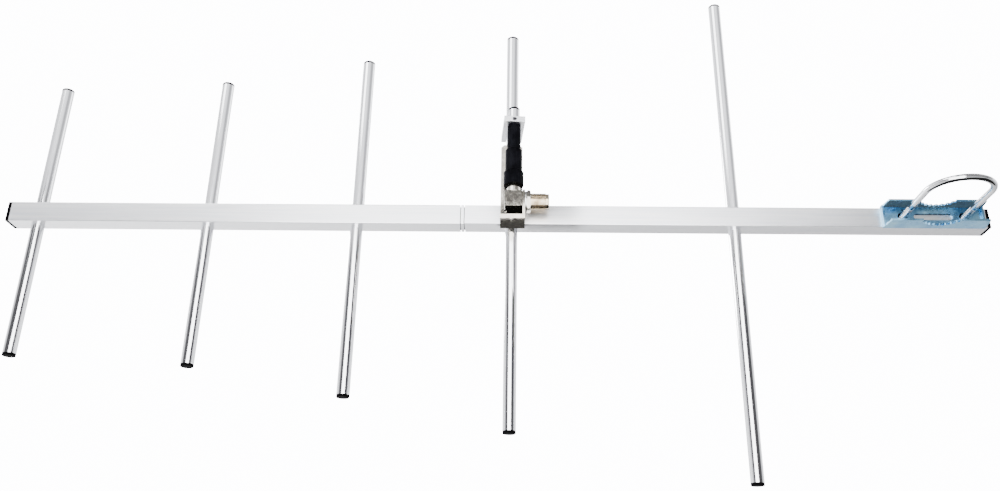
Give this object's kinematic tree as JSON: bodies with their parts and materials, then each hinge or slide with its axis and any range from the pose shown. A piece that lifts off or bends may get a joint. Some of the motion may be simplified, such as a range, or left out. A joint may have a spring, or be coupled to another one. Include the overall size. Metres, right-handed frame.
{
  "type": "yagi antenna",
  "caption": "Directional beam antenna: round tube elements through a square boom, a gamma-matched feed with a right-angle coaxial socket, and a U-bolt mast clamp.",
  "frame": {"origin": "on the axis of the smallest mast the clamp takes, level with the boom's axis", "axes": "+X along the boom towards its rear, mast end; +Z along the elements and the mast; -Y is the side with the feed and the U-bolt"},
  "size_m": [0.945, 0.1214, 0.503],
  "materials": {
    "boom_aluminium": "satin, fine lengthwise extrusion lines",
    "tube_aluminium": "bright drawn tube",
    "black_plastic": "moulded black caps",
    "shrink_sleeve": "black shrink sleeve, satin",
    "nickel": "nickel plate, warm",
    "brassy_nickel": "threaded, brass tint under nickel",
    "gold_contact": "gold-plated contact",
    "copper_rod": "drawn copper rod",
    "white_insulator": "white insulator",
    "dark_steel": "black oxide set screws",
    "blue_zinc": "blue-white zinc plate",
    "chrome_rod": "bright plated rod, rolled threads",
    "zinc_hardware": "bright zinc fasteners"
  },
  "bodies": {
    "boom": {"boom_rear": "boom_aluminium", "boom_front": "boom_aluminium", "boom_joiner": "boom_aluminium", "joiner_screws": "zinc_hardware", "boom_cap_rear": "black_plastic", "boom_cap_front": "black_plastic", "reflector": "tube_aluminium", "driven_element": "tube_aluminium", "director_1": "tube_aluminium", "director_2": "tube_aluminium", "director_3": "tube_aluminium", "reflector_caps": "black_plastic", "driven_caps": "black_plastic", "director_1_caps": "black_plastic", "director_2_caps": "black_plastic", "director_3_caps": "black_plastic", "element_screws": "zinc_hardware", "gamma_tube": "tube_aluminium", "gamma_cap": "black_plastic", "gamma_rod": "copper_rod", "gamma_dielectric": "white_insulator", "coupler_sleeve": "black_plastic", "shrink_upper": "shrink_sleeve", "shrink_middle": "shrink_sleeve", "shrink_lower": "shrink_sleeve", "connector_neck": "nickel", "connector_elbow": "nickel", "connector_barrel": "brassy_nickel", "connector_insulator": "white_insulator", "centre_contact": "gold_contact", "connector_washer": "zinc_hardware", "feed_bracket": "nickel", "bracket_screws": "zinc_hardware", "mast_saddle": "blue_zinc", "u_bolt_washers": "zinc_hardware", "u_bolt_lock_washers": "zinc_hardware"},
    "bar": {"shorting_bar": "boom_aluminium"},
    "front_set_screw": {"bar_screw_front": "dark_steel"},
    "rear_set_screw": {"bar_screw_rear": "dark_steel"},
    "panel_nut": {"connector_nut": "nickel"},
    "clamp_bolt": {"u_bolt": "chrome_rod"},
    "nut_ahead": {"u_bolt_nut_ahead": "zinc_hardware"},
    "nut_behind": {"u_bolt_nut_behind": "zinc_hardware"}
  },
  "joints": [
    {"name": "clamp_slide", "type": "slide", "parent": "boom", "child": "clamp_bolt", "axis": [0, 1, 0], "range_m": [0, 0.037]},
    {"name": "nut_ahead_turn", "type": "hinge", "parent": "boom", "child": "nut_ahead", "pos_m": [-0.029, 0.0497, 0], "axis": [0, 1, 0], "continuous": true},
    {"name": "nut_behind_turn", "type": "hinge", "parent": "boom", "child": "nut_behind", "pos_m": [0.029, 0.0497, 0], "axis": [0, 1, 0], "continuous": true},
    {"name": "bar_slide", "type": "slide", "parent": "boom", "child": "bar", "axis": [0, 0, 1], "range_m": [0, 0.01]},
    {"name": "front_set_screw_turn", "type": "hinge", "parent": "bar", "child": "front_set_screw", "pos_m": [-0.4, 0.0125, 0.093], "axis": [0.083, -0.9965, 0], "continuous": true},
    {"name": "rear_set_screw_turn", "type": "hinge", "parent": "bar", "child": "rear_set_screw", "pos_m": [-0.402, 0.0365, 0.093], "axis": [-0.083, 0.9965, 0], "continuous": true},
    {"name": "panel_nut_turn", "type": "hinge", "parent": "boom", "child": "panel_nut", "pos_m": [-0.388, 0.0125, 0.0072], "axis": [1, 0, 0], "continuous": true}
  ]
}
